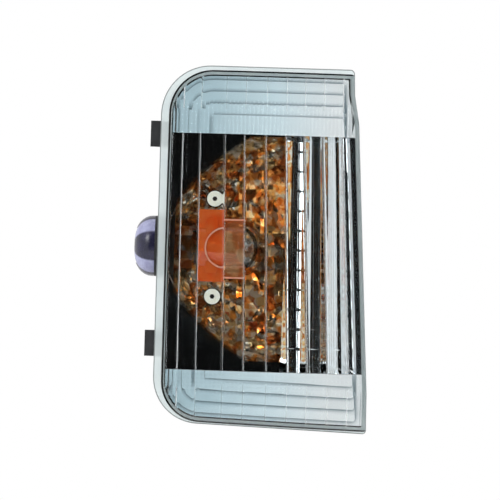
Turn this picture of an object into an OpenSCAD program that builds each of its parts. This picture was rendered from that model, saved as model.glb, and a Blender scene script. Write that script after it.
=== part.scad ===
// Side turn signal lamp for the wing mirror of a van.
// X runs to the right as the lamp is seen from the front, Z runs up, and the lens faces -Y.
// The origin lies midway between the end faces of the two rear screw bosses,
// at the height of the bulb's axis.

/* [Lens outline] */
// Distance from the origin to the left edge of the lens
lens_left = 41.2; // [40:0.1:44]
// Height of the top edge above the bulb's axis
lens_top = 72.8; // [68:0.1:80]
// Depth of the bottom edge below the bulb's axis, at the origin
lens_bottom = 71.4; // [66:0.1:78]
// Slope of the bottom edge, falling to the right, in degrees
bottom_slope = 1.9; // [0:0.1:3]
// Distance from the origin to the right edge at the top corner
right_top = 35.8; // [34:0.1:40]
// Distance from the origin to the right edge at the bottom corner
right_bottom = 44.6; // [42:0.1:50]
// Height of the top of the outward jog in the right edge
jog_top = 62.4; // [58:0.1:64]
// Height of the bottom of the outward jog
jog_bottom = 51; // [48:0.1:54]
// How far the jog steps outwards
jog_step = 2; // [1:0.1:3]
// Radius of the top left corner
corner_top = 20; // [12:0.5:24]
// Radius of the bottom left corner
corner_bottom = 18.5; // [12:0.5:24]

/* [Lens section] */
// Thickness of the flange that surrounds the raised body
flange_t = 2.5; // [1.5:0.1:3]
// Width of the clear flange band on the left
band_left = 3.4; // [2.5:0.1:5]
// Width of the clear flange band on the top
band_top = 2.3; // [1:0.1:4]
// Width of the clear flange band on the bottom
band_bottom = 1.2; // [0.6:0.1:3]
// Width of the flange band on the right
band_right = 0.4; // [0.2:0.1:1.5]
// Thickness of the lens's side walls
lens_wall = 1.8; // [1.4:0.1:2.2]
// Thickness of the lens's face at its thinnest
face_t = 2.4; // [1.8:0.1:2.8]
// Height of the crown of the lens above the back of its flange
crown_rise = 18; // [17:0.5:22]
// Horizontal radius of the face
face_radius_h = 160; // [140:5:260]
// Vertical radius of the face
face_radius_v = 900; // [700:50:1500]

/* [Optics] */
// Height of the top of the fluted window above the bulb's axis
window_top = 45.3; // [42:0.1:48]
// Depth of the bottom of the fluted window below the bulb's axis
window_bottom = 48.6; // [45:0.1:52]
// Depth of the window's flutes
flute_depth = 0.9; // [0.4:0.1:1.3]
// Pitch of the fine ribs above and below the window
rib_pitch = 2.1; // [1.8:0.1:4]
// Depth of the fine ribs
rib_depth = 0.45; // [0.2:0.05:0.8]

/* [Housing] */
// Thickness of the sealing bead
seal_t = 1; // [0.6:0.1:1.5]
// Thickness of the housing's walls
housing_wall = 2.5; // [2:0.1:3]
// Thickness of the housing's rim
rim_wall = 2; // [1.6:0.1:2.2]
// Width of the ledge inside the rim, which carries the reflector
ledge_w = 1.8; // [1.6:0.1:2.2]
// Depth of the shallow tray behind the lens
tray_depth = 18; // [16:0.5:19]
// Clearance between the bowl and the housing's rear wall
bowl_clear = 1.4; // [1:0.1:4]
// Right side of the deep pocket behind the bowl
pocket_right = 17; // [16:0.5:22]
// Half height of the deep pocket
pocket_half = 50; // [49:0.5:51]
// Height of the screw bosses above the rear wall
boss_rise = 5; // [4:0.5:7]
// Distance between the two mounting bosses
boss_spacing = 80; // [70:1:84]
// Radius of the mounting bosses
boss_r = 5; // [4:0.1:6]
// Radius of the pilot holes in the mounting bosses
pilot_r = 1.7; // [1.3:0.05:2]
// Depth of the pilot holes
pilot_depth = 9; // [7:0.5:9.5]
// Height of the two retaining teeth
tooth_h = 10.4; // [8:0.1:12]
// How far the retaining teeth stand out past the lens flange
tooth_reach = 4; // [3:0.1:5]
// Height of the upper tooth's middle above the bulb's axis
tooth_up = 45; // [38:0.5:46]
// Depth of the lower tooth's middle below the bulb's axis
tooth_down = 39; // [34:0.5:44]

/* [Reflector] */
// How far the reflector's front plate stands forward of the lens flange's back
plate_forward = 4; // [3.5:0.1:4.5]
// Wall thickness of the reflector
reflector_t = 1.6; // [1.2:0.1:2]
// Gap between the reflector and the lens or the housing's rim around it
reflector_gap = 0.3; // [0.2:0.05:0.4]
// Distance from the origin to the vertex of the bowl's parabola, to the left
bowl_vertex = 38; // [37:0.1:39]
// Rise of the parabola, as millimetres of X for each square millimetre of Z
bowl_rate = 0.017; // [0.015:0.0005:0.02]
// Right end of the bowl
bowl_end = 9.6; // [8:0.1:12]
// Depth of the bowl behind the front plate
bowl_depth = 37.5; // [34:0.5:38]
// Height of the diamond facets in the bowl
facet_relief = 0.7; // [0.4:0.1:1.5]
// Depth of the wing's right side behind the front plate
wing_edge = 2.2; // [2:0.1:3]
// Rise of the wing across each of its columns of pillows, from the bowl's end to the right
wing_rises = [0.7, 2.2, 4.8, 0.7];
// Pitch of the wing's pillows along Z
pillow_pitch = 7.8; // [7:0.1:12]
// Height of the wing's pillows across their width
pillow_rise = 1.2; // [0.5:0.1:1.5]
// Height of the wing's pillows along their length
row_rise = 0.4; // [0.2:0.1:1]
// Width of each terrace above and below the window
terrace_w = 4.6; // [3:0.1:5]
// Rise of each terrace
terrace_rise = 1.2; // [0.6:0.1:1.4]

/* [Amber cover] */
// Thickness of the amber cover
cover_t = 1.5; // [1.2:0.1:1.8]
// Outer radius of the hood over the bulb
hood_r = 12.4; // [11:0.1:13]
// Distance from the origin to the left end of the hood
hood_left = 25; // [24:0.1:26]
// Distance from the origin to the tip of the hood's dome, to the right
hood_tip = 1.6; // [1:0.1:3]
// Distance of the cover's screws from the origin, to the left
screw_left = 18.4; // [17:0.1:20]
// Distance of the cover's screws above and below the bulb's axis
screw_up = 19.4; // [18:0.1:22]
// Radius of the screws' heads
screw_head_r = 3.1; // [2.6:0.1:3.6]
// Height of the screws' heads
screw_head_h = 2.2; // [1.6:0.1:2.4]
// Radius of the screws' shanks
screw_r = 1.25; // [1:0.05:1.5]
// Length of the screws' shanks
screw_l = 12; // [8:0.5:14]

/* [Bulb holder] */
// Depth of the bulb's axis behind the back of the lens flange
bulb_behind = 14.4; // [14:0.1:15]
// Radius of the holder's knob
knob_r = 12.2; // [11.6:0.1:12.6]
// Height of the knob's domed end across its radius
knob_round = 9; // [6:0.5:9.5]
// Distance from the origin to the knob's outer end
knob_left = 50.7; // [49:0.1:54]
// Distance from the origin to the outer face of the port's collar
collar_left = 41; // [40.5:0.1:41.5]
// Outer radius of the port's collar
collar_r = 13; // [12.8:0.1:13.2]
// Distance from the origin to the inner face of the port's collar
collar_inner = 34; // [33.5:0.1:34.5]
// Radius of the port's bore
port_r = 10.3; // [9.8:0.1:10.5]
// Running clearance between the holder and its port
port_gap = 0.3; // [0.15:0.05:0.4]
// Thickness of the holder's sealing ring
ring_t = 1.4; // [1:0.1:2]
// Radius over the holder's bayonet lugs
lug_r = 11.8; // [11.5:0.1:12]
// Thickness of the bayonet lugs
lug_t = 2; // [1.5:0.1:2.4]
// Width of the bayonet lugs
lug_w = 5; // [4:0.1:6]
// Distance from the origin to the inner end of the holder's nose
nose_left = 27; // [26.5:0.1:28]
// Radius of the holder's nose
nose_r = 9.6; // [9.4:0.1:9.8]
// Length of the connector socket's opening
socket_l = 14; // [13:0.1:14.4]
// Width of the connector socket's opening
socket_w = 7.6; // [7:0.1:8]
// Depth of the connector socket
socket_depth = 9; // [8:0.5:9.5]
// Distance of the contacts above and below the bulb's axis
contact_z = 4.4; // [4:0.1:5]
// Width of the connector blades and of the contacts' strips
blade_w = 2.8; // [2.4:0.1:3]
// Thickness of the connector blades
blade_t = 0.8; // [0.6:0.1:1]
// Thickness of the contacts' strips
strip_t = 0.6; // [0.4:0.05:0.8]
// Distance from the end of the strips to the bulb's shoulder
strip_short = 3.6; // [3:0.1:5]

/* [Bulb] */
// Radius of the bulb's glass
glass_r = 7.5; // [7:0.1:8]
// Wall thickness of the bulb's glass
glass_t = 0.8; // [0.6:0.1:1]
// Distance from the origin to the bulb's tip, to the right
glass_tip = 2; // [0:0.1:3]
// Distance from the origin to the bulb's shoulder, to the left
shoulder_left = 22.5; // [22:0.1:23]
// Radius of the bulb's shoulder
shoulder_round = 5.5; // [3:0.5:6]
// Width of the bulb's wedge base
wedge_w = 14.6; // [14:0.1:15]
// Thickness of the bulb's wedge base
wedge_t = 4.6; // [4.2:0.1:4.8]
// Length of the bulb's wedge base
wedge_l = 11; // [9:0.5:11.5]
// Distance between the lead wires inside the glass
lead_spacing = 6; // [5:0.5:7]
// Radius of the lead wires
lead_r = 0.35; // [0.25:0.05:0.45]
// Radius of the filament's coil
filament_r = 0.6; // [0.5:0.1:0.8]

/* [Hidden] */
$fn = 96;

// Places along Y
parting = boss_rise + housing_wall + bowl_clear + reflector_t + bowl_depth - plate_forward;
bulb_y = -parting + bulb_behind;
plate_y = -parting - plate_forward;
crown_y = -parting - crown_rise;
rim_y = -parting + seal_t;
ledge_y = rim_y + 2;
tray_floor_y = rim_y + tray_depth;
rear_y = -boss_rise;

// Corners of the flange, anticlockwise from the bottom left, and the radius of each
slope = tan(bottom_slope);
function bottom_at(x) = -lens_bottom - slope * x;
jog_x = right_top + 0.4;
flange_points = [
    [-lens_left, bottom_at(-lens_left)],
    [right_bottom, bottom_at(right_bottom)],
    [right_bottom - 0.2, -lens_bottom + 15],
    [jog_x + jog_step, jog_bottom],
    [jog_x, jog_top],
    [right_top, lens_top],
    [-lens_left, lens_top]
];
flange_radii = [corner_bottom, 1.5, 40, 12, 8, 1.8, corner_top];
body_bands = [band_bottom, band_right, band_right, band_right, band_right, band_top, band_left];

// Flute boundaries as shares of the window's width, from the left
flute_shares = [0, 0.06, 0.155, 0.29, 0.396, 0.512, 0.62, 0.72, 0.823, 0.928, 1];

function unit(v) = v / norm(v);
function inward(v) = unit([-v[1], v[0]]);
function crossing(p, u, q, v) = p + u * cross(q - p, v) / cross(u, v);

// Corners of an outline whose sides are each moved inwards by their own distance
function inset(points, moves) = [
    for (i = [0 : len(points) - 1])
    let (
        n = len(points),
        before = points[(i + n - 1) % n],
        here = points[i],
        after = points[(i + 1) % n],
        u = here - before,
        v = after - here
    )
    crossing(here + moves[(i + n - 1) % n] * inward(u), u, here + moves[i] * inward(v), v)
];

// Points of one rounded corner, whose radius is limited by its shorter side
function corner_arc(before, here, after, radius) =
    let (
        u = unit(before - here),
        v = unit(after - here),
        half = acos(u * v) / 2,
        side = min(norm(before - here), norm(after - here)),
        r = min(radius, 0.45 * side * tan(half)),
        middle = here + unit(u + v) * r / sin(half),
        from = here + u * r / tan(half) - middle,
        to = here + v * r / tan(half) - middle,
        start = atan2(from[1], from[0]),
        turn = (atan2(to[1], to[0]) - start + 540) % 360 - 180,
        steps = max(1, ceil(abs(turn) / 7.5))
    )
    [for (k = [0 : steps]) middle + r * [cos(start + turn * k / steps), sin(start + turn * k / steps)]];

function rounded(points, radii) = [
    for (i = [0 : len(points) - 1])
    let (n = len(points))
    each corner_arc(points[(i + n - 1) % n], points[i], points[(i + 1) % n], radii[i])
];

body_points = inset(flange_points, body_bands);
function body_radius(i, by) = max(flange_radii[i] - (i == 0 || i == 6 ? 2.5 : 0.5) - by, 0.4);

// The raised body's outline, moved inwards by one distance all round
module body_region(by = 0) {
    moved = inset(body_points, [for (side = body_bands) by]);
    polygon(rounded(moved, [for (i = [0 : len(moved) - 1]) body_radius(i, by)]));
}

// The body's right edge, moved inwards, at a height
function right_at(z, by) =
    let (low = body_points[2], high = body_points[3])
    low[0] + (high[0] - low[0]) * (z - low[1]) / (high[1] - low[1]) - by;

// Stands an outline up and gives it depth, from y0 back to y1
module slab(y0, y1) translate([0, y1, 0]) rotate([90, 0, 0]) linear_extrude(y1 - y0) children();

// A round bar along X, or along Y, between two places
module bar_x(x0, x1, r, r_end = -1)
    translate([x0, bulb_y, 0]) rotate([0, 90, 0]) cylinder(h = x1 - x0, r1 = r, r2 = r_end < 0 ? r : r_end);
module bar_y(x, z, y0, y1, r, sides = 96)
    translate([x, y1, z]) rotate([90, 0, 0]) cylinder(h = y1 - y0, r = r, $fn = sides);

function sag(radius, off) = radius - sqrt(radius * radius - off * off);

// A closed solid through a row of outlines that hold the same number of points
module loft(rings) {
    n = len(rings[0]);
    last = (len(rings) - 1) * n;
    polyhedron(
        points = [for (ring = rings) each ring],
        faces = concat(
            [[for (i = [0 : n - 1]) i], [for (i = [n - 1 : -1 : 0]) last + i]],
            [
                for (r = [0 : len(rings) - 2])
                for (i = [0 : n - 1])
                let (a = r * n + i, b = r * n + (i + 1) % n)
                each [[b, a, a + n], [b, a + n, b + n]]
            ]
        )
    );
}

function bulge(part) = 1 - pow(2 * part - 1, 2);

// Columns of the lens's inner face: share of the window's width, place within the flute, and rib or groove
edge_lap = 0.35;
function window_x(share, z) =
    let (left = -lens_left + band_left + lens_wall - edge_lap)
    left + share * (right_at(z, lens_wall - edge_lap) - left);
optic_columns = concat(
    [
        for (i = [0 : len(flute_shares) - 2])
        let (
            width = window_x(flute_shares[i + 1], 0) - window_x(flute_shares[i], 0),
            steps = 2 * max(1, round(width / rib_pitch))
        )
        for (k = [0 : steps - 1])
        [flute_shares[i] + k / steps * (flute_shares[i + 1] - flute_shares[i]), k / steps, k % 2]
    ],
    [[1, 0, 0]]
);

// The window is a pad that stands a little further in than the ribbed zones
window_inner_y = crown_y + face_t + sag(face_radius_v, max(window_top, window_bottom)) + rib_depth + 0.15;
function flute_y(x, column) = window_inner_y + sag(face_radius_h, x) + flute_depth * bulge(column[1]);
function rib_y(x, column, z) =
    crown_y + face_t + sag(face_radius_h, x) + sag(face_radius_v, z) + rib_depth * column[2];

// One level of the hollow behind the face, closed round the back
function hollow_ring(z, column_z, fluted) =
    let (
        face = [
            for (column = optic_columns)
            let (x = window_x(column[0], column_z))
            [x, fluted ? flute_y(x, column) : rib_y(x, column, z), z]
        ],
        first = face[0],
        last = face[len(face) - 1],
        beyond = fluted ? 5 : 6,
        back = -parting + (fluted ? 1 : 2)
    )
    concat(
        [[first[0] - beyond, first[1], z]],
        face,
        [[last[0] + beyond, last[1], z], [last[0] + beyond, back, z], [first[0] - beyond, back, z]]
    );

module face_hollow() {
    loft([
        hollow_ring(bottom_at(right_bottom), -window_bottom, false),
        hollow_ring(-window_bottom, -window_bottom, false),
        hollow_ring(-window_bottom, -window_bottom, true),
        hollow_ring(window_top, window_top, true),
        hollow_ring(window_top, window_top, false),
        hollow_ring(lens_top, window_top, false)
    ]);
}

// The face is turned about an upright axis, with a profile of shallow steps along its vertical arc
module face_barrel() {
    low = -lens_bottom - 10;
    high = lens_top + 10;
    steps = 10;
    translate([0, crown_y + face_radius_h, 0])
    rotate_extrude($fn = 256)
    polygon(concat(
        [[0, low]],
        [
            for (k = [0 : steps])
            let (z = low + (high - low) * k / steps)
            [face_radius_h - sag(face_radius_v, z), z]
        ],
        [[0, high]]
    ));
}

module lens() {
    color([0.82, 0.9, 0.93, 0.45])
    difference() {
        union() {
            slab(-parting - flange_t, -parting) polygon(rounded(flange_points, flange_radii));
            intersection() {
                slab(crown_y - 1, -parting - flange_t / 2) body_region();
                face_barrel();
            }
        }
        intersection() {
            slab(crown_y, -parting + 0.5) body_region(lens_wall);
            face_hollow();
        }
    }
}

module lens_seal() {
    color([0.1, 0.11, 0.12])
    slab(-parting, rim_y)
    difference() {
        body_region(0.2);
        body_region(rim_wall);
    }
}

// Housing
module pocket_region(by = 0) {
    intersection() {
        body_region(by);
        translate([-lens_left, -pocket_half + by]) square([lens_left + pocket_right - by, 2 * (pocket_half - by)]);
    }
}

// One retaining tooth, ramped on its rear side so that it snaps past the bracket's edge
module tooth(z) {
    out = -lens_left - tooth_reach;
    root = -lens_left + band_left + housing_wall / 2;
    translate([0, 0, z - tooth_h / 2])
    linear_extrude(tooth_h)
    polygon([[root, rim_y + 1.5], [out, rim_y + 1.5], [out, rim_y + 3.5], [root, rim_y + 9]]);
}

module housing_ribs() {
    for (z = [-2, -1, 1, 2])
        translate([pocket_right - 1, tray_floor_y - 0.5, z * pocket_half / 3 - 0.8])
        linear_extrude(1.6)
        polygon([[0, 0], [14, 0], [0, 12]]);
}

module port_slots() {
    for (turn = [45, 165, 285])
        translate([0, bulb_y, 0])
        rotate([turn, 0, 0])
        translate([-collar_left - 1, -lug_w / 2 - port_gap, 0])
        cube([collar_left - collar_inner + 2, lug_w + 2 * port_gap, lug_r + port_gap]);
}

vent_x = -24;
vent_z = -30;
vent_r = 3;

module housing() {
    color([0.07, 0.075, 0.085])
    difference() {
        union() {
            slab(rim_y, tray_floor_y) body_region();
            slab(tray_floor_y - 1, rear_y) pocket_region();
            bar_x(-collar_left, -collar_inner, collar_r);
            tooth(tooth_up);
            tooth(-tooth_down);
            housing_ribs();
            for (z = [-1, 1]) bar_y(0, z * boss_spacing / 2, rear_y - 1, 0, boss_r);
            bar_y(vent_x, vent_z, rear_y - 1, rear_y + 3, vent_r);
        }
        slab(rim_y - 1, ledge_y) body_region(rim_wall);
        difference() {
            union() {
                slab(ledge_y - 1, tray_floor_y - housing_wall) body_region(rim_wall + ledge_w);
                slab(tray_floor_y - housing_wall - 1, rear_y - housing_wall) pocket_region(rim_wall + ledge_w);
            }
            bar_x(-collar_left, -collar_inner, collar_r);
            for (z = [-1, 1]) bar_y(0, z * boss_spacing / 2, -pilot_depth - 2, rear_y, boss_r - 1);
        }
        bar_x(-collar_left - 1, -collar_inner + 1, port_r);
        port_slots();
        for (z = [-1, 1]) bar_y(0, z * boss_spacing / 2, -pilot_depth, 1, pilot_r);
        bar_y(vent_x, vent_z, rear_y - housing_wall - 1, rear_y + 4, vent_r - 1.4);
    }
}

module vent_cap() {
    color([0.16, 0.16, 0.17])
    difference() {
        bar_y(vent_x, vent_z, rear_y, rear_y + 4.2, vent_r + 1.2);
        bar_y(vent_x, vent_z, rear_y - 1, rear_y + 3, vent_r);
    }
}

// Reflector
reflector_inset = rim_wall + reflector_gap;
bowl_rings = 15;
bowl_fans = 22;

function rim_half(x) = min(sqrt(max(x + bowl_vertex, 0.3) / bowl_rate), window_top - 0.8);
function depth_at(x) =
    let (along = (bowl_end - x) / (bowl_end + bowl_vertex))
    bowl_depth * sqrt(1 - pow(along, 4));
function ring_x(i) =
    let (share = i / (bowl_rings - 1))
    -bowl_vertex + 0.6 + (bowl_end + bowl_vertex - 0.6) * pow(share, 1.5);

// One cross-section of the bowl: half an ellipse, whose inner points step in and out by turns
function bowl_ring(i, grow) =
    let (
        x = ring_x(i) + (i == bowl_rings - 1 ? grow : 0),
        half = rim_half(ring_x(i)) + grow,
        deep = depth_at(ring_x(i)) + grow
    )
    concat(
        [[x, plate_y - 4, half]],
        [
            for (j = [0 : bowl_fans])
            let (
                a = 180 * j / bowl_fans,
                inner = j > 0 && j < bowl_fans && i > 0 && i < bowl_rings - 1,
                relief = grow == 0 && inner && (i + j) % 2 == 0 ? facet_relief : 0
            )
            [x, plate_y + (deep - relief) * sin(a), (half - relief) * cos(a)]
        ],
        [[x, plate_y - 4, -half]]
    );

// Each four-sided cell is folded along the diagonal that joins its two raised corners
function cell(i, j, n) =
    let (a = i * n + j, b = a + n, c = i * n + (j + 1) % n, d = c + n)
    (i + j) % 2 == 0 ? [[a, c, d], [a, d, b]] : [[a, c, b], [c, d, b]];

module bowl_form(grow) {
    n = bowl_fans + 3;
    last = (bowl_rings - 1) * n;
    polyhedron(
        points = [for (i = [0 : bowl_rings - 1]) each bowl_ring(i, grow)],
        faces = concat(
            [[for (j = [n - 1 : -1 : 0]) j], [for (j = [0 : n - 1]) last + j]],
            [for (i = [0 : bowl_rings - 2]) for (j = [0 : n - 1]) each cell(i, j, n)]
        )
    );
}

// Wing: columns of pillows, one behind each flute, on a ramp that runs from the bowl's end up to the right edge
wing_bands = len(wing_rises);
wing_flute = len(flute_shares) - 1 - wing_bands;
wing_shares = [
    for (i = [wing_flute : len(flute_shares) - 1])
    (flute_shares[i] - flute_shares[wing_flute]) / (1 - flute_shares[wing_flute])
];
pillow_steps = 5;
wing_rows = round((window_top + window_bottom) / pillow_pitch) * pillow_steps;
wing_columns = wing_bands * pillow_steps;
wing_right_inset = reflector_inset + reflector_t;
wing_left = bowl_end - 0.5;

function wing_x(share, z) = wing_left + share * (right_at(z, wing_right_inset) - wing_left);

// Depth of the ramp behind the front plate at the left side of a column of pillows
function ramp_at(band) = band >= wing_bands ? wing_edge : wing_rises[band] + ramp_at(band + 1);

function wing_point(column, row) =
    let (
        band = min(floor(column / pillow_steps), wing_bands - 1),
        part = column / pillow_steps - band,
        share = wing_shares[band] + part * (wing_shares[band + 1] - wing_shares[band]),
        z = -window_bottom + (window_top + window_bottom) * row / wing_rows,
        along = (row % pillow_steps) / pillow_steps,
        ramp = plate_y + ramp_at(band) - part * wing_rises[band]
    )
    [wing_x(share, z), ramp - pillow_rise * bulge(part) - row_rise * bulge(along), z];

// The open space in front of the pillows
module wing_space() {
    across = wing_columns + 1;
    count = across * (wing_rows + 1);
    edge = concat(
        [for (column = [0 : wing_columns - 1]) column],
        [for (row = [0 : wing_rows - 1]) row * across + wing_columns],
        [for (column = [wing_columns : -1 : 1]) wing_rows * across + column],
        [for (row = [wing_rows : -1 : 1]) row * across]
    );
    n = len(edge);
    front_y = plate_y - 4;
    pillows = [for (row = [0 : wing_rows]) for (column = [0 : wing_columns]) wing_point(column, row)];
    polyhedron(
        points = concat(
            pillows,
            [for (i = edge) [pillows[i][0], front_y, pillows[i][2]]],
            [[(wing_left + right_top) / 2, front_y, 0]]
        ),
        faces = concat(
            [
                for (row = [0 : wing_rows - 1])
                for (column = [0 : wing_columns - 1])
                let (a = row * across + column)
                each [[a, a + 1, a + across], [a + 1, a + across + 1, a + across]]
            ],
            [
                for (i = [0 : n - 1])
                let (j = (i + 1) % n)
                each [[edge[j], edge[i], count + i], [edge[j], count + i, count + j], [count + j, count + i, count + n]]
            ]
        )
    );
}

// One level of the block that backs the pillows
function wing_ring(z) =
    let (right = right_at(z, 0) + 1)
    concat(
        [[wing_left, plate_y, z], [right, plate_y, z], [right, plate_y + wing_edge + reflector_t, z]],
        [
            for (band = [wing_bands : -1 : 0])
            [wing_x(wing_shares[band], z), plate_y + ramp_at(band) + reflector_t, z]
        ]
    );

module wing_block() {
    intersection() {
        loft([wing_ring(-window_bottom - reflector_t), wing_ring(window_top + reflector_t)]);
        slab(plate_y - 1, 0) body_region(reflector_inset);
    }
}

// Terraces that follow the rounded corners on the left, above and below the window
module terrace_region(by) {
    corners = [body_points[0], body_points[1], body_points[5], body_points[6]];
    moved = inset(corners, [by, wing_right_inset + by / terrace_w / 4, by, by]);
    polygon(rounded(moved, [body_radius(0, by), 1, 1, body_radius(6, by)]));
}

module terraces() {
    for (step = [0 : 3])
        slab(plate_y - (step + 1) * terrace_rise, plate_y)
        difference() {
            terrace_region(reflector_inset + reflector_t + step * terrace_w);
            translate([-2 * lens_left, -window_bottom]) square([4 * lens_left, window_top + window_bottom]);
        }
}

module pillars(r, length) {
    for (side = [-1, 1]) bar_y(-screw_left, side * screw_up, plate_y, plate_y + length, r);
}

module reflector() {
    color([0.83, 0.85, 0.87])
    difference() {
        union() {
            difference() {
                union() {
                    slab(plate_y, plate_y + reflector_t) body_region(reflector_inset);
                    slab(plate_y, ledge_y)
                    difference() {
                        body_region(reflector_inset);
                        body_region(reflector_inset + reflector_t - 0.1);
                    }
                    terraces();
                    wing_block();
                    intersection() {
                        bowl_form(reflector_t);
                        slab(plate_y, 0) body_region(reflector_inset + ledge_w);
                    }
                }
                bowl_form(0);
                wing_space();
            }
            intersection() {
                pillars(screw_head_r + 0.5, bowl_depth);
                bowl_form(reflector_t / 2);
            }
        }
        bar_x(-lens_left, -nose_left + 1, collar_r + reflector_gap);
        pillars(screw_r + 0.1, screw_l + 1);
    }
}

// Amber cover over the bowl, with its hood over the bulb
cover_y = plate_y - cover_t;
hood_y = plate_y + 7.5;
hood_centre = hood_tip - hood_r;
cover_lap = 1.2;

module cover_region() {
    intersection() {
        body_region(reflector_inset + reflector_t);
        polygon([
            for (k = [-12 : 12])
            let (z = k / 12 * (window_top - 0.5))
            [min(-bowl_vertex - cover_lap + bowl_rate * z * z, bowl_end), z],
            [bowl_end - 0.3, window_top - 0.5],
            [bowl_end - 0.3, -window_top + 0.5]
        ]);
    }
}

module hood_form(r) {
    translate([-hood_left, hood_y, 0]) rotate([0, 90, 0]) cylinder(h = hood_left + hood_centre, r = r);
    translate([hood_centre, hood_y, 0]) sphere(r);
}

module amber_cover() {
    color([0.95, 0.42, 0.08, 0.75])
    difference() {
        union() {
            slab(cover_y, plate_y) cover_region();
            intersection() {
                hood_form(hood_r);
                translate([-hood_left, crown_y, -hood_r]) cube([2 * hood_left, hood_y - crown_y, 2 * hood_r]);
            }
        }
        hood_form(hood_r - cover_t);
        for (side = [-1, 1]) bar_y(-screw_left, side * screw_up, cover_y - 1, plate_y + 1, screw_r + 0.3);
    }
}

module cover_screws() {
    color([0.9, 0.87, 0.76])
    for (side = [-1, 1])
        difference() {
            union() {
                bar_y(-screw_left, side * screw_up, cover_y - screw_head_h, cover_y, screw_head_r);
                bar_y(-screw_left, side * screw_up, cover_y - 0.1, cover_y + screw_l, screw_r);
            }
            bar_y(-screw_left, side * screw_up, cover_y - screw_head_h - 1, cover_y - 0.8, 1, 6);
        }
}

// Bulb holder: a body of revolution along the bulb's axis with lugs, a nose and a connector socket
ring_left = collar_left + ring_t;
neck_r = port_r - port_gap;

function knob_profile() = concat(
    [[0, 0]],
    [
        for (k = [0 : 8])
        let (a = 90 * k / 8)
        [knob_r - knob_round * (1 - sin(a)), (knob_left - ring_left - 1) * (1 - cos(a))]
    ],
    [[knob_r, knob_left - ring_left], [0, knob_left - ring_left]]
);

lug_x = -collar_inner + port_gap;

module holder_lugs() {
    for (turn = [0, 120, 240])
        translate([0, bulb_y, 0])
        rotate([turn, 0, 0])
        translate([lug_x, -lug_w / 2, 0])
        cube([lug_t, lug_w, lug_r - 0.4]);
}

socket_floor = knob_left - socket_depth;
wedge_seat = shoulder_left + wedge_l;

module holder_slot(x0, x1, w, t) {
    translate([x0, bulb_y - t / 2, -w / 2]) cube([x1 - x0, t, w]);
}

module blade_slot(side, gap) {
    translate([-knob_left + 1.5, bulb_y - blade_w / 2 - gap, side * contact_z - blade_t / 2 - gap])
    cube([knob_left - 1.5 - wedge_seat + 0.3, blade_w + 2 * gap, blade_t + 2 * gap]);
}

module bulb_holder() {
    color([0.11, 0.11, 0.17])
    difference() {
        union() {
            translate([-knob_left, bulb_y, 0]) rotate([0, 90, 0]) rotate_extrude() polygon(knob_profile());
            bar_x(-ring_left - 0.1, lug_x + lug_t / 2, neck_r);
            bar_x(-collar_inner, -nose_left, nose_r);
            holder_lugs();
        }
        holder_slot(-knob_left - 1, -socket_floor, socket_l, socket_w);
        holder_slot(-wedge_seat, -nose_left + 1, wedge_w + 0.4, wedge_t + 2 * strip_t + 0.6);
        for (side = [-1, 1]) blade_slot(side, 0.05);
    }
}

module holder_seal() {
    color([0.13, 0.13, 0.14])
    difference() {
        bar_x(-ring_left, -collar_left, knob_r);
        bar_x(-ring_left - 1, -collar_left + 1, neck_r);
    }
}

// One contact: a blade in the connector socket and a spring strip along the wedge base
module contact(side) {
    reach = wedge_t / 2 + strip_t;
    color([0.78, 0.62, 0.3]) {
        blade_slot(side, 0);
        translate([-wedge_seat, bulb_y + (side > 0 ? wedge_t / 2 : -reach), side * contact_z - blade_w / 2])
        cube([wedge_l - strip_short, strip_t, blade_w]);
        translate([-wedge_seat, bulb_y + (side > 0 ? 0 : -reach), side * contact_z - blade_w / 2])
        cube([strip_t, reach, blade_w]);
    }
}

module contact_upper() contact(1);
module contact_lower() contact(-1);

// Bulb
function glass_profile(grow) = concat(
    [[0, 0]],
    [
        for (k = [0 : 6])
        let (a = 90 * k / 6)
        let (r = shoulder_round - grow)
        [glass_r - shoulder_round + r * sin(a), shoulder_round - r * cos(a)]
    ],
    [
        for (k = [0 : 12])
        let (a = 90 * k / 12, r = glass_r - grow)
        [r * cos(a), shoulder_left + glass_tip - glass_r + r * sin(a)]
    ]
);

// The pinched base narrows into the bulb's round shoulder
module wedge_base() {
    half = wedge_w / 2;
    neck = glass_r - shoulder_round / 2;
    translate([0, bulb_y + wedge_t / 2, 0])
    rotate([90, 0, 0])
    linear_extrude(wedge_t)
    polygon([
        [-wedge_seat + strip_t, -half],
        [-shoulder_left - 1, -half],
        [-shoulder_left + shoulder_round / 2, -neck],
        [-shoulder_left + shoulder_round / 2, neck],
        [-shoulder_left - 1, half],
        [-wedge_seat + strip_t, half]
    ]);
}

module bulb_glass() {
    color([0.9, 0.93, 0.95, 0.4])
    difference() {
        union() {
            translate([-shoulder_left, bulb_y, 0]) rotate([0, 90, 0]) rotate_extrude() polygon(glass_profile(0));
            wedge_base();
        }
        translate([-shoulder_left, bulb_y, 0])
        rotate([0, 90, 0])
        rotate_extrude()
        intersection() {
            polygon(glass_profile(glass_t));
            translate([0, glass_t]) square([glass_r, shoulder_left + glass_tip]);
        }
    }
}

lead_top = -shoulder_left + 12.5;

// Where the leads leave the inside of the bulb's round shoulder
lead_out = max(0, lead_spacing / 2 + lead_r - glass_r + shoulder_round);
lead_root = -shoulder_left + shoulder_round - sqrt(pow(shoulder_round - glass_t, 2) - pow(lead_out, 2)) + 0.05;

module bulb_leads() {
    color([0.7, 0.72, 0.75])
    for (side = [-1, 1])
        translate([lead_root, bulb_y, side * lead_spacing / 2])
        rotate([0, 90, 0])
        cylinder(h = lead_top - lead_root, r = lead_r);
}

module bulb_filament() {
    color([0.55, 0.55, 0.58])
    translate([lead_top + filament_r, bulb_y, -lead_spacing / 2])
    cylinder(h = lead_spacing, r = filament_r);
}

lens();
lens_seal();
housing();
reflector();
amber_cover();
cover_screws();
bulb_holder();
holder_seal();
contact_upper();
contact_lower();
bulb_glass();
bulb_filament();
bulb_leads();
vent_cap();
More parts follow.
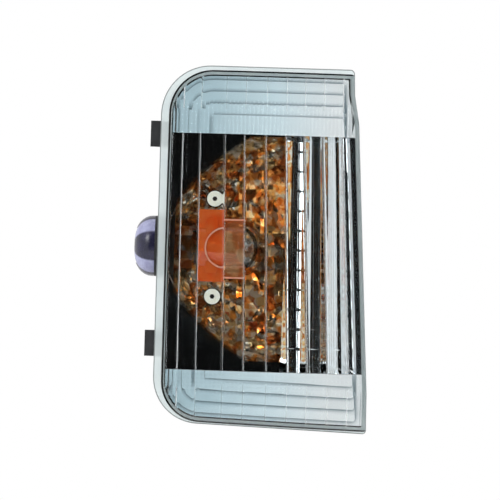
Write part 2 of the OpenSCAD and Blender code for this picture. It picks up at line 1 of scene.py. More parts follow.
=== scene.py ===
"""Looks of a mirror turn signal lamp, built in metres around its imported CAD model.

X runs to the right, Z up, and the lens faces -Y. The origin is at the bulb's height on the mounting plane.
"""

import math

import bpy
from mathutils import Matrix, Vector


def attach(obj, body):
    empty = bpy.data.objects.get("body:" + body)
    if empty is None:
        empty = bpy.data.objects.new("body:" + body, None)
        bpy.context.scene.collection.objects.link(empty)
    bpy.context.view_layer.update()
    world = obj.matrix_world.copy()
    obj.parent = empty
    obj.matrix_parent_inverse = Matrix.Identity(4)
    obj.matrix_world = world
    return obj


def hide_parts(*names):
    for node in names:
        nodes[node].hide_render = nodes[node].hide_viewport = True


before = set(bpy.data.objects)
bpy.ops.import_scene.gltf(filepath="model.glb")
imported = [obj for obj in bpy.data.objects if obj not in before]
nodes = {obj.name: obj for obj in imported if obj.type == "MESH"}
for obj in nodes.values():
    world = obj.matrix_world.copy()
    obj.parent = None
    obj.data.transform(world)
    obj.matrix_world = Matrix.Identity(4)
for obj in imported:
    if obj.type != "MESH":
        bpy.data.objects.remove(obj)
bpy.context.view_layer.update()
MM = 0.001
CIRCLE_SIDES = 96

# Camera and stage
PHOTO_PIXELS = 500
PIXEL = 0.4 * MM
ORIGIN_PIXEL = (260, 249)
PHOTO_TILT = math.radians(1.75)
CAMERA_AWAY = 1.6
CAMERA_SEES = 20
SENSOR_MM = 36
FLOOR_Z = -0.16
FLOOR_RADIUS = 0.6
# Place, size and power of the two soft lamps
KEY_LAMP = ((-0.9, -1.0, 0.7), (0.5, 0.5), 6)
FILL_LAMP = ((1.0, -0.9, 0.2), (0.4, 0.8), 4)
# Dark gap between the softboxes: turn to the right of the camera's side, half width and half height
ROOM_TURN = math.radians(17)
ROOM_WIDTH = math.tan(math.radians(45))
ROOM_HEIGHT = math.tan(math.radians(62))
ROOM_BLUR = 1.06
ROOM_LIGHT = 0.004
FILL_LIGHT = 1.18

# Lens outline, as in the part's source
LEFT = -41.2 * MM
TOP = 72.8 * MM
BOTTOM = -71.4 * MM
BOTTOM_SLOPE = math.tan(math.radians(1.9))
RIGHT_TOP = 35.8 * MM
RIGHT_BOTTOM = 44.6 * MM
RIGHT_LEAN = 0.2 * MM
RIGHT_TURN_Z = BOTTOM + 15 * MM
JOG_TOP = 62.4 * MM
JOG_BOTTOM = 51 * MM
JOG_STEP = 2 * MM
JOG_X = RIGHT_TOP + 0.4 * MM
CORNER_TOP = 20 * MM
CORNER_BOTTOM = 18.5 * MM
BAND_LEFT = 3.4 * MM
BAND_TOP = 2.3 * MM
BAND_BOTTOM = 1.2 * MM
BAND_RIGHT = 0.4 * MM
LARGE_TIGHTER = 2.5 * MM
SMALL_TIGHTER = 0.5 * MM
LEAST_RADIUS = 0.4 * MM

# Lens section and optics
PARTING_Y = -44 * MM
CROWN_Y = PARTING_Y - 17.99 * MM
FLANGE_T = 2.5 * MM
LENS_WALL = 1.8 * MM
BODY_EDGE = 0.7 * MM
FLANGE_EDGE = 0.4 * MM
SEAL_LINE = 0.6 * MM
SEAL_LINE_LEFT = 1.6 * MM
SEAL_LINE_RIGHT = 0.2 * MM
REBATE = 0.4 * MM
REBATE_TIGHTER = 3.5 * MM
FACE_T = 2.4 * MM
FACE_RADIUS_H = 160 * MM
FACE_RADIUS_V = 900 * MM
WINDOW_TOP = 45.3 * MM
WINDOW_BOTTOM = -48.6 * MM
WINDOW_RAISED = 0.15 * MM
FLUTE_DEPTH = 0.32 * MM
FLUTE_SHARES = [0, 0.06, 0.155, 0.29, 0.396, 0.512, 0.62, 0.72, 0.823, 0.928, 1]
FLUTE_STEPS = 18
FLUTE_POWER = 15
RIB_PITCH = 1.6 * MM
RIB_DEPTH = 0.16 * MM
RIB_STEPS = 5
ROW_PITCH = 1.6 * MM
ROW_DEPTH = 0.09 * MM
ROW_STEPS = 3
REACH = 6 * MM

# Reflector and amber cover, as in the part's source
PLATE_Y = PARTING_Y - 4 * MM
BOWL_END = 9.6 * MM
BOWL_FRONT_Y = PLATE_Y + 0.6 * MM
COVER_Y = PLATE_Y - 1.5 * MM
HOOD_R = 12.4 * MM
HOOD_AXIS_Y = PLATE_Y + 7.5 * MM

# Painted highlight bands around the bulb holder's axis
HOLDER_Y = -29.6 * MM
HIGHLIGHT_BANDS = 4
HIGHLIGHT_TURN = math.radians(45)

# Raised forms of the amber cover and the bowl's chips, made here alone
BLOCK_LEFT = -24.6 * MM
BLOCK_RIGHT = -13.6 * MM
BLOCK_TOP = 15 * MM
BLOCK_BOTTOM = -13.4 * MM
BLOCK_STEP = 1.1 * MM
BLOCK_MARGIN = 3.2 * MM
BLOCK_RADIUS = 1.2 * MM
BLOCK_EDGE = 0.35 * MM
HOOD_RIGHT = -6.2 * MM
HOOD_GAP = 0.05 * MM
RIB_HIGH = 11.2 * MM
RIB_LOW = -11.8 * MM
RIDGE_WIDTH = 0.7 * MM
RIDGE_EDGE = 0.2 * MM
RING_R = 8 * MM
RING_RAISED = 0.5 * MM
BEDDED = 0.02 * MM
FACET_LEVELS = 1
FACET_RELIEF = 0.45 * MM
FACET_FACING = -0.05
CHIP_SIZE = 2.8 * MM

# Rounded edges of the CAD's nodes, and the angles, in degrees, above which an edge stays sharp
EDGES = {
    "lens_seal": 0.15 * MM,
    "housing": 0.3 * MM,
    "cover_screws": 0.3 * MM,
    "bulb_holder": 0.25 * MM,
    "holder_seal": 0.2 * MM,
    "vent_cap": 0.2 * MM,
}
SHARP = {"reflector": 22, "amber_cover": 25, "bulb_glass": 35}
USUALLY_SHARP = 32
WELD = 0.004 * MM

# Part of the noise's range that a varied colour or roughness runs over
GRAIN_LOW = 0.35
GRAIN_HIGH = 0.65
# Chips in the cover, and the places in the random range where one colour gives way to the next. Gold and
# orange are the amber's own tint; cream and brown chips are painted glints and dark reflections.
GLINT_CREAM = (1.0, 0.93, 0.8)
GOLD = (1.0, 0.7, 0.34)
ORANGE = (1.0, 0.4, 0.1)
DARK_REFLECTION_BROWN = (0.7, 0.22, 0.06)
CHIP_STOPS = (0.3, 0.34, 0.5, 0.54, 0.75, 0.8)
CHIP_TINTS_AND_GLINTS = (GLINT_CREAM, GOLD, GOLD, ORANGE, ORANGE, DARK_REFLECTION_BROWN)
# Larger, duller chips in the hood, and how much less light passes it
HOOD_STOPS = (0.2, 0.6, 0.7)
HOOD_COLOURS = ((1.0, 0.55, 0.25), (1.0, 0.55, 0.25), (0.9, 0.3, 0.1))
HOOD_CLOUD = 0.22
# How much of a mirror each chip of the bowl is
MIRROR_STOPS = (0.25, 0.28, 0.6, 0.63)
MIRROR_SHARES = (0.4, 0.85, 0.9, 1.0)
# Terraces, from left to right: a pale bluish tint with painted light, darker at the left and white at the
# right
SATIN_PAINTED_LIGHT_STOPS = (0, 0.28, 0.6, 0.9)
SATIN_PAINTED_LIGHT = ((0.5, 0.66, 0.72), (0.58, 0.74, 0.8), (0.8, 0.93, 0.98), (1.0, 1.0, 1.0))


# Outlines are lists of (x, z)
def unit(v):
    return v / v.length


def crossing(p, u, q, v):
    """Where the line through p along u meets the line through q along v."""
    gap = q - p
    return p + u * (gap.x * v.y - gap.y * v.x) / (u.x * v.y - u.y * v.x)


def inset(points, moves):
    """The outline with each of its sides moved inwards by its own distance."""
    moved = []
    for i, here in enumerate(points):
        before = points[i - 1]
        after = points[(i + 1) % len(points)]
        u = unit(here - before)
        v = unit(after - here)
        start = here + moves[i - 1] * Vector((-u.y, u.x))
        end = here + moves[i] * Vector((-v.y, v.x))
        moved.append(crossing(start, u, end, v))
    return moved


def rounded(points, radii, step=math.radians(5)):
    """The outline with its corners rounded."""
    made = []
    for i, here in enumerate(points):
        u = unit(points[i - 1] - here)
        v = unit(points[(i + 1) % len(points)] - here)
        half = math.acos(u.dot(v)) / 2
        middle = here + unit(u + v) * radii[i] / math.sin(half)
        start = here + u * radii[i] / math.tan(half) - middle
        end = here + v * radii[i] / math.tan(half) - middle
        first = math.atan2(start.y, start.x)
        turn = (math.atan2(end.y, end.x) - first + 3 * math.pi) % (2 * math.pi) - math.pi
        steps = max(2, math.ceil(abs(turn) / step))
        for k in range(steps + 1):
            a = first + turn * k / steps
            made.append(middle + radii[i] * Vector((math.cos(a), math.sin(a))))
    return made


def rectangle(left, bottom, right, top):
    return [Vector(p) for p in ((left, bottom), (right, bottom), (right, top), (left, top))]


def arc(middle_x, radius, start, end, steps=40):
    """Points from one angle to another, in degrees, about a place at the height of the origin."""
    turns = [math.radians(start + (end - start) * k / steps) for k in range(steps + 1)]
    return [Vector((middle_x + radius * math.cos(a), radius * math.sin(a))) for a in turns]


def bottom_at(x):
    return BOTTOM - BOTTOM_SLOPE * x


FLANGE_POINTS = [
    Vector((LEFT, bottom_at(LEFT))),
    Vector((RIGHT_BOTTOM, bottom_at(RIGHT_BOTTOM))),
    Vector((RIGHT_BOTTOM - RIGHT_LEAN, RIGHT_TURN_Z)),
    Vector((JOG_X + JOG_STEP, JOG_BOTTOM)),
    Vector((JOG_X, JOG_TOP)),
    Vector((RIGHT_TOP, TOP)),
    Vector((LEFT, TOP)),
]
FLANGE_RADII = [CORNER_BOTTOM, 1.5 * MM, 40 * MM, 12 * MM, 8 * MM, 1.8 * MM, CORNER_TOP]
LEFT_CORNERS = (0, 6)
BODY_BANDS = [BAND_BOTTOM, BAND_RIGHT, BAND_RIGHT, BAND_RIGHT, BAND_RIGHT, BAND_TOP, BAND_LEFT]
BODY_POINTS = inset(FLANGE_POINTS, BODY_BANDS)


def body_outline(by):
    """The outline of the lens's raised body, moved inwards all round."""
    radii = []
    for i, radius in enumerate(FLANGE_RADII):
        tighter = LARGE_TIGHTER if i in LEFT_CORNERS else SMALL_TIGHTER
        radii.append(max(radius - tighter - by, LEAST_RADIUS))
    return rounded(inset(BODY_POINTS, [by] * len(BODY_POINTS)), radii)


def rebate_outline():
    """The edge of the rebate that shows the seal behind the lens's wall."""
    right = [SEAL_LINE_RIGHT, SEAL_LINE_RIGHT]
    moves = [SEAL_LINE, *right, SEAL_LINE, SEAL_LINE, SEAL_LINE, SEAL_LINE_LEFT]
    radii = [max(radius - REBATE_TIGHTER, LEAST_RADIUS) for radius in FLANGE_RADII]
    return rounded(inset(BODY_POINTS, moves), radii)


def right_at(z, by):
    """The body's right edge, moved inwards, at a height."""
    low, high = BODY_POINTS[2], BODY_POINTS[3]
    return low.x + (high.x - low.x) * (z - low.y) / (high.y - low.y) - by


# Meshes
def new_object(name, vertices, faces):
    mesh = bpy.data.meshes.new(name)
    mesh.from_pydata(vertices, [], faces)
    mesh.validate()
    made = bpy.data.objects.new(name, mesh)
    bpy.context.scene.collection.objects.link(made)
    return made


def level_normals(piece):
    """Lets the large faces set the normals, so that flat faces stay flat beside their rounded edges."""
    step = piece.modifiers.new("normals", "WEIGHTED_NORMAL")
    step.keep_sharp = True


def smooth(piece):
    """Smooth shading, with the sharper edges kept."""
    piece.data.shade_smooth()
    piece.data.set_sharp_from_angle(angle=math.radians(USUALLY_SHARP))
    level_normals(piece)


def wear(piece, material):
    """Gives a piece made here its smooth shading and a material in place of those it was built with."""
    smooth(piece)
    piece.data.materials.clear()
    piece.data.materials.append(material)


def prism(name, outline, y0, y1):
    """An outline given depth from y0 back to y1."""
    n = len(outline)
    vertices = [(p.x, y0, p.y) for p in outline] + [(p.x, y1, p.y) for p in outline]
    sides = [[i, n + i, n + (i + 1) % n, (i + 1) % n] for i in range(n)]
    return new_object(name, vertices, [list(range(n)), list(range(2 * n - 1, n - 1, -1)), *sides])


def bar(name, x0, x1, y, radius):
    """A round bar along X, at the height of the origin."""
    sides = CIRCLE_SIDES
    turns = [2 * math.pi * k / sides for k in range(sides)]
    outline = [Vector((y + radius * math.cos(a), radius * math.sin(a))) for a in turns]
    vertices = [(x, p.x, p.y) for x in (x0, x1) for p in outline]
    walls = [[i, (i + 1) % sides, sides + (i + 1) % sides, sides + i] for i in range(sides)]
    ends = [list(range(sides - 1, -1, -1)), list(range(sides, 2 * sides))]
    return new_object(name, vertices, [*ends, *walls])


def relief(name, rows, back_y):
    """A closed block whose front is a grid of points, given row by row, and whose back is flat."""
    across = len(rows[0])
    front = [p for row in rows for p in row]
    back = [Vector((p.x, back_y, p.z)) for p in front]
    count = len(front)
    faces = []
    for r in range(len(rows) - 1):
        for c in range(across - 1):
            a = r * across + c
            faces.append([a, a + 1, a + across + 1, a + across])
            faces.append([count + a + across, count + a + across + 1, count + a + 1, count + a])
    last = (len(rows) - 1) * across
    edge = list(range(across))
    edge += [r * across + across - 1 for r in range(1, len(rows))]
    edge += list(range(last + across - 2, last - 1, -1))
    edge += [r * across for r in range(len(rows) - 2, 0, -1)]
    for i, a in enumerate(edge):
        b = edge[(i + 1) % len(edge)]
        faces.append([b, a, count + a, count + b])
    return new_object(name, front + back, faces)


def bake(piece):
    """Turns what the modifiers make into the piece's own mesh."""
    bpy.context.view_layer.update()
    shown = piece.evaluated_get(bpy.context.evaluated_depsgraph_get())
    mesh = bpy.data.meshes.new_from_object(shown)
    piece.modifiers.clear()
    piece.data = mesh
    return piece


def combine(piece, tool, operation):
    """Joins the piece with the tool, or cuts it, and deletes the tool."""
    step = piece.modifiers.new(operation, "BOOLEAN")
    step.operation = operation
    step.object = tool
    step.solver = "MANIFOLD"
    bake(piece)
    bpy.data.objects.remove(tool)
    return piece


def round_edges(piece, width, angle=50, segments=2):
    step = piece.modifiers.new("round", "BEVEL")
    step.width = width
    step.segments = segments
    step.limit_method = "ANGLE"
    step.angle_limit = math.radians(angle)
    step.use_clamp_overlap = True
    return piece


# Nodes of materials, of the world and of mesh groups
def tree_of(owner):
    """The node tree of a material or world, or a group of nodes itself."""
    return getattr(owner, "node_tree", owner)


def add_node(owner, kind, **settings):
    node = tree_of(owner).nodes.new(kind)
    for key, value in settings.items():
        setattr(node, key, value)
    return node


def link(owner, source, target):
    tree_of(owner).links.new(source, target)


def calculated(owner, operation, *values):
    """What an operation makes of numbers and sockets."""
    node = add_node(owner, "ShaderNodeMath", operation=operation)
    for entry, value in zip(node.inputs, values):
        if isinstance(value, (int, float)):
            entry.default_value = value
        else:
            link(owner, value, entry)
    return node.outputs[0]


def parts_of(owner, vector):
    """The X, Y and Z of a vector."""
    split = add_node(owner, "ShaderNodeSeparateXYZ")
    link(owner, vector, split.inputs[0])
    return split.outputs


# Mesh groups
def new_group(name):
    group = bpy.data.node_groups.new(name, "GeometryNodeTree")
    for in_out in ("INPUT", "OUTPUT"):
        group.interface.new_socket("Geometry", in_out=in_out, socket_type="NodeSocketGeometry")
    start = add_node(group, "NodeGroupInput").outputs[0]
    end = add_node(group, "NodeGroupOutput").inputs[0]
    return group, start, end


def compared(group, source, operation, value):
    node = add_node(group, "FunctionNodeCompare", operation=operation)
    node.inputs[1].default_value = value
    link(group, source, node.inputs[0])
    return node.outputs[0]


def every(group, result, *others):
    """True where all of the given ones are."""
    for other in others:
        node = add_node(group, "FunctionNodeBooleanMath", operation="AND")
        link(group, result, node.inputs[0])
        link(group, other, node.inputs[1])
        result = node.outputs[0]
    return result


def smoothing_nodes(angle, flat_to_x):
    """Shades a CAD mesh smoothly up to an angle, and keeps it faceted to the left of a place."""
    group, start, end = new_group("smooth_to_angle")
    clear = add_node(group, "GeometryNodeRemoveAttribute")
    clear.inputs["Name"].default_value = "custom_normal"
    turn = add_node(group, "GeometryNodeInputMeshEdgeAngle").outputs[0]
    place = parts_of(group, add_node(group, "GeometryNodeInputPosition").outputs[0])
    edges = add_node(group, "GeometryNodeSetShadeSmooth", domain="EDGE")
    faces = add_node(group, "GeometryNodeSetShadeSmooth", domain="FACE")
    soft = every(
        group,
        compared(group, turn, "LESS_THAN", math.radians(angle)),
        compared(group, place["X"], "GREATER_THAN", flat_to_x),
    )
    link(group, start, clear.inputs["Geometry"])
    link(group, clear.outputs[0], edges.inputs["Geometry"])
    link(group, soft, edges.inputs["Shade Smooth"])
    link(group, edges.outputs[0], faces.inputs["Geometry"])
    link(group, faces.outputs[0], end)
    return group


def facet_nodes():
    """Cuts the bowl's front into finer facets, each tilted its own way."""
    group, start, end = new_group("finer_facets")
    position = add_node(group, "GeometryNodeInputPosition").outputs[0]
    place = parts_of(group, position)
    facing = parts_of(group, add_node(group, "GeometryNodeInputNormal").outputs[0])
    bowl = every(
        group,
        compared(group, place["Y"], "GREATER_THAN", BOWL_FRONT_Y),
        compared(group, place["X"], "LESS_THAN", BOWL_END),
        compared(group, facing["Y"], "LESS_THAN", FACET_FACING),
    )
    parted = add_node(group, "GeometryNodeSeparateGeometry", domain="FACE")
    cut = add_node(group, "GeometryNodeSubdivideMesh")
    cut.inputs["Level"].default_value = FACET_LEVELS
    neighbours = add_node(group, "GeometryNodeInputMeshEdgeNeighbors").outputs[0]
    inner = add_node(group, "FunctionNodeBooleanMath", operation="NOT")
    link(group, compared(group, neighbours, "LESS_THAN", 1.5), inner.inputs[0])
    chance = add_node(group, "ShaderNodeTexWhiteNoise", noise_dimensions="3D")
    link(group, position, chance.inputs["Vector"])
    rise = add_node(group, "ShaderNodeMapRange")
    rise.inputs["To Min"].default_value = -FACET_RELIEF
    rise.inputs["To Max"].default_value = FACET_RELIEF
    link(group, chance.outputs["Value"], rise.inputs["Value"])
    away = add_node(group, "ShaderNodeCombineXYZ")
    link(group, rise.outputs["Result"], away.inputs["Y"])
    lift = add_node(group, "GeometryNodeSetPosition")
    together = add_node(group, "GeometryNodeJoinGeometry")
    link(group, start, parted.inputs["Geometry"])
    link(group, bowl, parted.inputs["Selection"])
    link(group, parted.outputs["Selection"], cut.inputs["Mesh"])
    link(group, cut.outputs["Mesh"], lift.inputs["Geometry"])
    link(group, inner.outputs[0], lift.inputs["Selection"])
    link(group, away.outputs[0], lift.inputs["Offset"])
    link(group, lift.outputs[0], together.inputs[0])
    link(group, parted.outputs["Inverted"], together.inputs[0])
    link(group, together.outputs[0], end)
    return group


def dress(name, material, flat_to_x=-1.0):
    """Gives a CAD node its material, soft edges and smooth shading."""
    piece = nodes[name]
    for slot in piece.material_slots:
        slot.material = material
    if not piece.material_slots:
        piece.data.materials.append(material)
    weld = piece.modifiers.new("weld", "WELD")
    weld.merge_threshold = WELD
    if name in EDGES:
        round_edges(piece, EDGES[name])
    if name == "reflector":
        facets = piece.modifiers.new("facets", "NODES")
        facets.node_group = facet_nodes()
    shade = piece.modifiers.new("shade", "NODES")
    shade.node_group = smoothing_nodes(SHARP.get(name, USUALLY_SHARP), flat_to_x)
    level_normals(piece)


# Materials
def shader_socket(material, name):
    return material.node_tree.nodes["Principled BSDF"].inputs[name]


def new_material(name, colour, roughness, **sockets):
    material = bpy.data.materials.new(name)
    material.use_nodes = True
    shader_socket(material, "Base Color").default_value = (*colour, 1)
    shader_socket(material, "Roughness").default_value = roughness
    for socket, value in sockets.items():
        shader_socket(material, socket.replace("_", " ")).default_value = value
    return material


def object_place(material):
    return add_node(material, "ShaderNodeTexCoord").outputs["Object"]


def grain(material, size, detail=3.0):
    """Noise in the object's own space, with features of about the given size."""
    noise = add_node(material, "ShaderNodeTexNoise")
    noise.inputs["Scale"].default_value = 1 / size
    noise.inputs["Detail"].default_value = detail
    link(material, object_place(material), noise.inputs["Vector"])
    return noise.outputs["Fac"]


def spread(material, factor, low, high, start=GRAIN_LOW, end=GRAIN_HIGH):
    """A number that runs from low to high as the factor goes from start to end."""
    step = add_node(material, "ShaderNodeMapRange")
    step.inputs["From Min"].default_value = start
    step.inputs["From Max"].default_value = end
    step.inputs["To Min"].default_value = low
    step.inputs["To Max"].default_value = high
    link(material, factor, step.inputs["Value"])
    return step.outputs["Result"]


def inside_span(material, value, low, high, blur=0.3 * MM):
    """1 where the value is between two others, 0 outside."""
    rising = spread(material, value, 0, 1, low - blur, low)
    falling = spread(material, value, 1, 0, high, high + blur)
    return calculated(material, "MULTIPLY", rising, falling)


def outside_window(material, z, blur=0.4 * MM):
    """1 above and below the fluted window, 0 beside it."""
    middle = (WINDOW_TOP + WINDOW_BOTTOM) / 2
    off = calculated(material, "ABSOLUTE", calculated(material, "SUBTRACT", z, middle))
    return spread(material, off, 0.0, 1.0, WINDOW_TOP - middle, WINDOW_TOP - middle + blur)


def colour_ramp(material, factor, stops, colours):
    """A colour that runs through the given ones as the factor passes its stops."""
    ramp = add_node(material, "ShaderNodeValToRGB")
    points = ramp.color_ramp.elements
    while len(points) < len(stops):
        points.new(1)
    for point, stop, colour in zip(points, stops, colours):
        point.position = stop
        point.color = (*colour, 1)
    link(material, factor, ramp.inputs["Fac"])
    return ramp.outputs["Color"]


def two_tones(material, size, first, second, start=GRAIN_LOW, end=GRAIN_HIGH):
    return colour_ramp(material, grain(material, size), (start, end), (first, second))


def chips(material, size, stops, colours):
    """A colour drawn for each cell of a broken pattern in the object's own space."""
    cells = add_node(material, "ShaderNodeTexVoronoi")
    cells.inputs["Scale"].default_value = 1 / size
    split = add_node(material, "ShaderNodeSeparateColor")
    link(material, object_place(material), cells.inputs["Vector"])
    link(material, cells.outputs["Color"], split.inputs[0])
    return colour_ramp(material, split.outputs["Red"], stops, colours)


def mix_colours(material, factor, first, second):
    """The first colour where the factor is 0 and the second where it is 1."""
    blend = add_node(material, "ShaderNodeMix", data_type="RGBA")
    link(material, factor, blend.inputs["Factor"])
    for socket, colour in ((blend.inputs[6], first), (blend.inputs[7], second)):
        if isinstance(colour, tuple):
            socket.default_value = (*colour, 1)
        else:
            link(material, colour, socket)
    return blend.outputs[2]


def painted_crease_shade(material, colour, dark, distance, start, end):
    """The colour, darkened with painted shade where the piece's own surfaces close in on each other."""
    crease = add_node(material, "ShaderNodeAmbientOcclusion", samples=8, only_local=True)
    crease.inputs["Distance"].default_value = distance
    return mix_colours(material, spread(material, crease.outputs["AO"], 0, 1, start, end), dark, colour)


def vary_colour(material, size, first, second):
    link(material, two_tones(material, size, first, second), shader_socket(material, "Base Color"))


def vary_roughness(material, size, low, high):
    link(material, spread(material, grain(material, size), low, high), shader_socket(material, "Roughness"))


def add_bump(material, size, detail, distance, strength=1.0):
    bump = add_node(material, "ShaderNodeBump")
    bump.inputs["Distance"].default_value = distance
    bump.inputs["Strength"].default_value = strength
    link(material, grain(material, size, detail), bump.inputs["Height"])
    link(material, bump.outputs["Normal"], shader_socket(material, "Normal"))


def clear_plastic():
    made = new_material("clear_plastic", (0.94, 0.975, 0.985), 0.02, Transmission_Weight=1.0, IOR=1.49)
    shader_socket(made, "Specular IOR Level").default_value = 0.3
    vary_roughness(made, 6 * MM, 0.01, 0.04)
    add_bump(made, 9 * MM, 1.0, 0.02 * MM)
    return made


def frosted_plastic(name, tone, clear):
    made = new_material(name, (tone * 0.9, tone, tone), 0.4, Transmission_Weight=clear, IOR=1.49)
    darker = (tone * 0.86, tone * 0.96, tone * 0.97)
    lighter = (tone * 0.94, tone * 1.03, tone * 1.03)
    vary_colour(made, 9 * MM, darker, lighter)
    vary_roughness(made, 3 * MM, 0.3, 0.45)
    return made


def metallised():
    """Mirror bright in the window, chipped in the bowl, pale satin on the terraces with painted light
    across them and painted shade in their creases.
    """
    made = new_material("metallised", (0.9, 0.91, 0.92), 0.05)
    place = parts_of(made, object_place(made))
    outside = outside_window(made, place["Z"])
    behind = spread(made, place["Y"], 0, 1, BOWL_FRONT_Y - 0.1 * MM, BOWL_FRONT_Y)
    beside = spread(made, place["X"], 1, 0, BOWL_END - 0.1 * MM, BOWL_END)
    bowl = calculated(made, "MULTIPLY", behind, beside)
    chipped = chips(made, 1.3 * CHIP_SIZE, MIRROR_STOPS, [(share,) * 3 for share in MIRROR_SHARES])
    mirror = mix_colours(made, bowl, (1.0, 1.0, 1.0), chipped)
    link(made, mix_colours(made, outside, mirror, (0.05, 0.05, 0.05)), shader_socket(made, "Metallic"))
    finish = add_node(made, "ShaderNodeMix")
    link(made, outside, finish.inputs["Factor"])
    link(made, spread(made, grain(made, 8 * MM), 0.02, 0.05), finish.inputs["A"])
    link(made, spread(made, grain(made, 2 * MM), 0.3, 0.4), finish.inputs["B"])
    link(made, finish.outputs["Result"], shader_socket(made, "Roughness"))
    chrome = two_tones(made, 14 * MM, (0.86, 0.88, 0.9), (0.92, 0.93, 0.93))
    across = spread(made, place["X"], 0, 1, LEFT, RIGHT_TOP)
    # The terraces' colour runs from darker at the left to white at the right: painted light.
    satin = colour_ramp(made, across, SATIN_PAINTED_LIGHT_STOPS, SATIN_PAINTED_LIGHT)
    # Painted shade at the feet of the terrace steps.
    with_painted_shade = painted_crease_shade(made, satin, (0.2, 0.27, 0.31), 1.8 * MM, 0.5, 0.95)
    link(made, mix_colours(made, outside, chrome, with_painted_shade), shader_socket(made, "Base Color"))
    return made


def amber_plastic():
    """Gold chips with painted cream glints and brown dark reflections where the cover is one wall, a deep
    orange block, a cloudy hood and a right end painted dark as shade.
    """
    made = new_material("amber_plastic", (1.0, 0.6, 0.24), 0.03, IOR=1.49)
    place = parts_of(made, object_place(made))

    def inside(left, right, bottom, top):
        across = inside_span(made, place["X"], left, right)
        return calculated(made, "MULTIPLY", across, inside_span(made, place["Z"], bottom, top))

    block = inside(BLOCK_LEFT, BLOCK_RIGHT, BLOCK_BOTTOM, BLOCK_TOP)
    hood = inside(BLOCK_RIGHT, HOOD_RIGHT, RIB_LOW, RIB_HIGH)
    see_through = spread(made, block, 0.97, 0.4, 0, 1)
    clear = calculated(made, "MULTIPLY_ADD", hood, -HOOD_CLOUD, see_through)
    link(made, clear, shader_socket(made, "Transmission Weight"))
    # The right end, beside the wing, is painted near black as shade.
    end = spread(made, place["X"], 0, 1, BOWL_END - 0.3 * MM, BOWL_END - 0.1 * MM)
    wall = mix_colours(made, end, chips(made, CHIP_SIZE, CHIP_STOPS, CHIP_TINTS_AND_GLINTS), (0.03, 0.015, 0.01))
    tube = chips(made, 2 * CHIP_SIZE, HOOD_STOPS, HOOD_COLOURS)
    deep = two_tones(made, 5 * MM, (1.0, 0.13, 0.02), (1.0, 0.22, 0.05))
    colour = mix_colours(made, block, mix_colours(made, hood, wall, tube), deep)
    link(made, colour, shader_socket(made, "Base Color"))
    vary_roughness(made, 5 * MM, 0.02, 0.06)
    return made


def painted_highlight_amber():
    """Amber painted paler as the highlight where the moulding's edges catch the light."""
    made = new_material("painted_highlight_amber", (1.0, 0.45, 0.3), 0.2, Transmission_Weight=0.2, IOR=1.49)
    vary_colour(made, 3 * MM, (1.0, 0.36, 0.2), (1.0, 0.52, 0.36))
    vary_roughness(made, 2 * MM, 0.15, 0.3)
    return made


def black_plastic():
    made = new_material("black_plastic", (0.02, 0.021, 0.023), 0.45)
    vary_colour(made, 5 * MM, (0.017, 0.018, 0.02), (0.026, 0.027, 0.03))
    vary_roughness(made, 1.5 * MM, 0.38, 0.55)
    add_bump(made, 0.35 * MM, 2.0, 0.02 * MM, 0.6)
    return made


def rubber():
    made = new_material("rubber", (0.015, 0.016, 0.017), 0.7)
    vary_colour(made, 3 * MM, (0.012, 0.013, 0.014), (0.024, 0.025, 0.026))
    vary_roughness(made, 1 * MM, 0.6, 0.8)
    add_bump(made, 0.25 * MM, 3.0, 0.03 * MM, 0.6)
    return made


def pale_screw():
    made = new_material("pale_screw", (0.97, 0.94, 0.8), 0.3)
    cream = two_tones(made, 1.2 * MM, (0.96, 0.91, 0.74), (1.0, 0.98, 0.86))
    # Painted shade darkens the cream in the recess, where the head's surfaces close in.
    with_painted_shade = painted_crease_shade(made, cream, (0.05, 0.04, 0.03), 2 * MM, 0.55, 0.9)
    link(made, with_painted_shade, shader_socket(made, "Base Color"))
    vary_roughness(made, 0.8 * MM, 0.28, 0.45)
    return made


def holder_plastic():
    """Navy moulding, with four paler bands around its axis painted on as its highlights."""
    made = new_material("holder_plastic", (0.012, 0.012, 0.035), 0.2, IOR=1.5)
    place = parts_of(made, object_place(made))
    turn = calculated(made, "ARCTAN2", place["Z"], calculated(made, "SUBTRACT", HOLDER_Y, place["Y"]))
    turns = calculated(made, "MULTIPLY_ADD", turn, HIGHLIGHT_BANDS, -HIGHLIGHT_BANDS * HIGHLIGHT_TURN)
    wave = calculated(made, "COSINE", turns)
    # The pale bands are painted highlights.
    flat = spread(made, wave, 0, 1, 0.3, 0.55)
    navy = two_tones(made, 4 * MM, (0.01, 0.01, 0.03), (0.02, 0.018, 0.055))
    pale = two_tones(made, 3 * MM, (0.24, 0.24, 0.4), (0.36, 0.38, 0.55), 0.3, 0.7)
    link(made, mix_colours(made, flat, navy, pale), shader_socket(made, "Base Color"))
    vary_roughness(made, 2 * MM, 0.2, 0.3)
    return made


def contact_brass():
    made = new_material("contact_brass", (0.78, 0.6, 0.28), 0.3, Metallic=1.0)
    vary_colour(made, 2 * MM, (0.7, 0.52, 0.24), (0.82, 0.66, 0.34))
    vary_roughness(made, 1 * MM, 0.2, 0.4)
    return made


def bulb_glass():
    made = new_material("bulb_glass", (0.97, 0.98, 0.98), 0.0, Transmission_Weight=1.0, IOR=1.5)
    vary_roughness(made, 4 * MM, 0.0, 0.02)
    return made


def wire_metal(name, colour):
    made = new_material(name, colour, 0.35, Metallic=1.0)
    vary_roughness(made, 0.5 * MM, 0.25, 0.45)
    return made


# Lens
def sag(radius, off):
    return radius - math.sqrt(radius * radius - off * off)


def bulge(part, power=2):
    """A crown across one flute, rib or row, from 0 at its edges to 1 in its middle."""
    return 1 - abs(2 * part - 1) ** power


def window_x(share, z):
    left = LEFT + BAND_LEFT + LENS_WALL
    return left + share * (right_at(z, LENS_WALL) - left)


def window_z(z):
    """The height, kept within the window's."""
    return min(max(z, WINDOW_BOTTOM), WINDOW_TOP)


